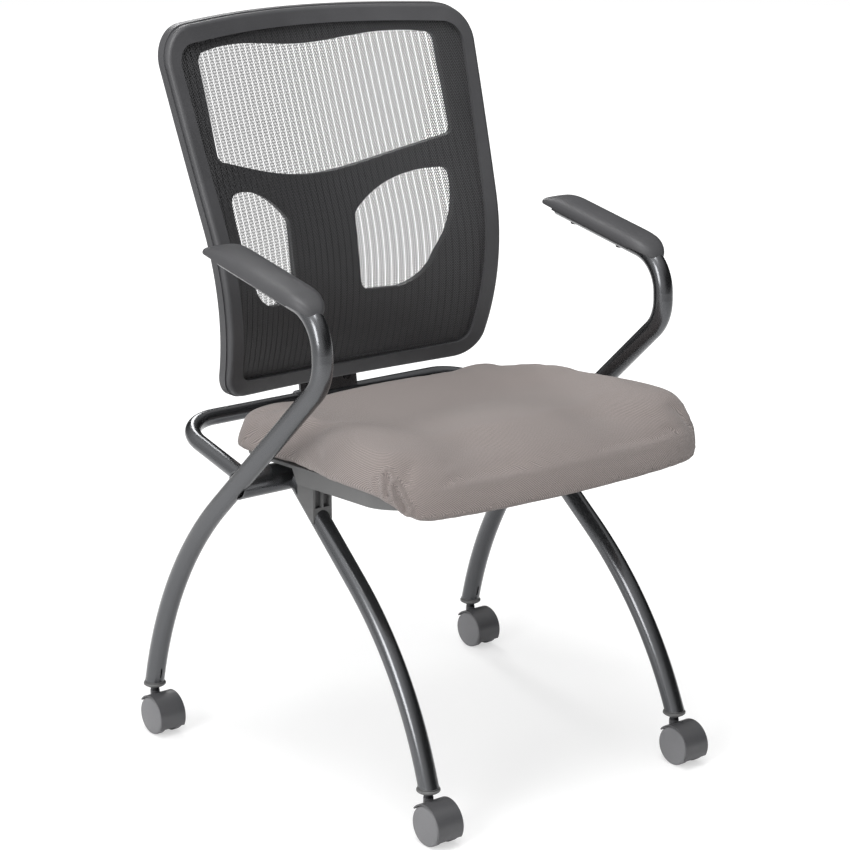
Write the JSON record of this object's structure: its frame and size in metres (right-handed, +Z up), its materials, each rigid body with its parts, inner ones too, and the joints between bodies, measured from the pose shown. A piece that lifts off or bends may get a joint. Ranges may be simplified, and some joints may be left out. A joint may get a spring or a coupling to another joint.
{
  "type": "nesting chair",
  "caption": "Nesting chair on twin-wheel casters with a mesh back, curved loop arms and a padded seat that flips up on the cross beam.",
  "frame": {"origin": "on the floor, under the middle of the chair's bounding box", "axes": "+Z up, the sitter faces -Y, +X is the sitter's left"},
  "size_m": [0.585, 0.5848, 0.924],
  "materials": {
    "frame_paint": "semi-gloss dark graphite powder coat",
    "bracket_steel": "satin black powder coat",
    "arm_plastic": "fine textured dark grey",
    "back_plastic": "fine textured dark grey",
    "back_mesh": "open black knitted mesh",
    "seat_plastic": "smooth satin dark grey",
    "plywood": "unfinished birch ply",
    "seat_fabric": "warm grey twill upholstery over foam",
    "caster_nylon": "satin grey nylon",
    "plated_steel": "dark zinc plate"
  },
  "bodies": {
    "frame": {"cross_beam": "frame_paint", "side_frame_right": "frame_paint", "front_leg_right": "frame_paint", "arm_pad_right": "arm_plastic", "arm_screws_right": "plated_steel", "arm_plug_right": "arm_plastic", "rest_block_right": "seat_plastic", "side_frame_left": "frame_paint", "front_leg_left": "frame_paint", "arm_pad_left": "arm_plastic", "arm_screws_left": "plated_steel", "arm_plug_left": "arm_plastic", "rest_block_left": "seat_plastic", "back_hoop": "frame_paint", "back_bracket": "bracket_steel", "bracket_screws": "plated_steel", "back_bezel": "back_plastic", "mesh_panel": "back_mesh", "mesh_retaining_strip": "back_plastic", "back_shell": "back_plastic", "foot_socket_rear_right": "seat_plastic", "foot_socket_rear_left": "seat_plastic", "foot_socket_front_right": "seat_plastic", "foot_socket_front_left": "seat_plastic"},
    "seat": {"seat_pan": "seat_plastic", "seat_board": "plywood", "seat_cushion": "seat_fabric", "seat_screws": "plated_steel", "hinge_bush_right": "seat_plastic", "hinge_bush_left": "seat_plastic", "hinge_strap_right": "bracket_steel", "hinge_strap_left": "bracket_steel"},
    "swivel_rear_right": {"caster_hood_rear_right": "caster_nylon", "caster_stem_rear_right": "plated_steel", "caster_axle_rear_right": "plated_steel"},
    "wheel_outer_rear_right": {"caster_wheel_outer_rear_right": "caster_nylon"},
    "wheel_inner_rear_right": {"caster_wheel_inner_rear_right": "caster_nylon"},
    "swivel_rear_left": {"caster_hood_rear_left": "caster_nylon", "caster_stem_rear_left": "plated_steel", "caster_axle_rear_left": "plated_steel"},
    "wheel_outer_rear_left": {"caster_wheel_outer_rear_left": "caster_nylon"},
    "wheel_inner_rear_left": {"caster_wheel_inner_rear_left": "caster_nylon"},
    "swivel_front_right": {"caster_hood_front_right": "caster_nylon", "caster_stem_front_right": "plated_steel", "caster_axle_front_right": "plated_steel"},
    "wheel_outer_front_right": {"caster_wheel_outer_front_right": "caster_nylon"},
    "wheel_inner_front_right": {"caster_wheel_inner_front_right": "caster_nylon"},
    "swivel_front_left": {"caster_hood_front_left": "caster_nylon", "caster_stem_front_left": "plated_steel", "caster_axle_front_left": "plated_steel"},
    "wheel_outer_front_left": {"caster_wheel_outer_front_left": "caster_nylon"},
    "wheel_inner_front_left": {"caster_wheel_inner_front_left": "caster_nylon"}
  },
  "joints": [
    {"name": "seat_flip", "type": "hinge", "parent": "frame", "child": "seat", "pos_m": [0, 0.04417, 0.38062], "axis": [-1, 0, 0], "range_deg": [0, 78]},
    {"name": "swivel_turn_rear_right", "type": "hinge", "parent": "frame", "child": "swivel_rear_right", "pos_m": [-0.2665, 0.248, 0.07], "axis": [0, 0, 1], "continuous": true},
    {"name": "wheel_outer_roll_rear_right", "type": "hinge", "parent": "swivel_rear_right", "child": "wheel_outer_rear_right", "pos_m": [-0.2665, 0.2315, 0.025], "axis": [1, 0, 0], "continuous": true},
    {"name": "wheel_inner_roll_rear_right", "type": "hinge", "parent": "swivel_rear_right", "child": "wheel_inner_rear_right", "pos_m": [-0.2665, 0.2315, 0.025], "axis": [1, 0, 0], "continuous": true},
    {"name": "swivel_turn_rear_left", "type": "hinge", "parent": "frame", "child": "swivel_rear_left", "pos_m": [0.2665, 0.248, 0.07], "axis": [0, 0, 1], "continuous": true},
    {"name": "wheel_outer_roll_rear_left", "type": "hinge", "parent": "swivel_rear_left", "child": "wheel_outer_rear_left", "pos_m": [0.2665, 0.2315, 0.025], "axis": [1, 0, 0], "continuous": true},
    {"name": "wheel_inner_roll_rear_left", "type": "hinge", "parent": "swivel_rear_left", "child": "wheel_inner_rear_left", "pos_m": [0.2665, 0.2315, 0.025], "axis": [1, 0, 0], "continuous": true},
    {"name": "swivel_turn_front_right", "type": "hinge", "parent": "frame", "child": "swivel_front_right", "pos_m": [-0.199, -0.248, 0.07], "axis": [0, 0, 1], "continuous": true},
    {"name": "wheel_outer_roll_front_right", "type": "hinge", "parent": "swivel_front_right", "child": "wheel_outer_front_right", "pos_m": [-0.199, -0.2645, 0.025], "axis": [1, 0, 0], "continuous": true},
    {"name": "wheel_inner_roll_front_right", "type": "hinge", "parent": "swivel_front_right", "child": "wheel_inner_front_right", "pos_m": [-0.199, -0.2645, 0.025], "axis": [1, 0, 0], "continuous": true},
    {"name": "swivel_turn_front_left", "type": "hinge", "parent": "frame", "child": "swivel_front_left", "pos_m": [0.199, -0.248, 0.07], "axis": [0, 0, 1], "continuous": true},
    {"name": "wheel_outer_roll_front_left", "type": "hinge", "parent": "swivel_front_left", "child": "wheel_outer_front_left", "pos_m": [0.199, -0.2645, 0.025], "axis": [1, 0, 0], "continuous": true},
    {"name": "wheel_inner_roll_front_left", "type": "hinge", "parent": "swivel_front_left", "child": "wheel_inner_front_left", "pos_m": [0.199, -0.2645, 0.025], "axis": [1, 0, 0], "continuous": true}
  ]
}
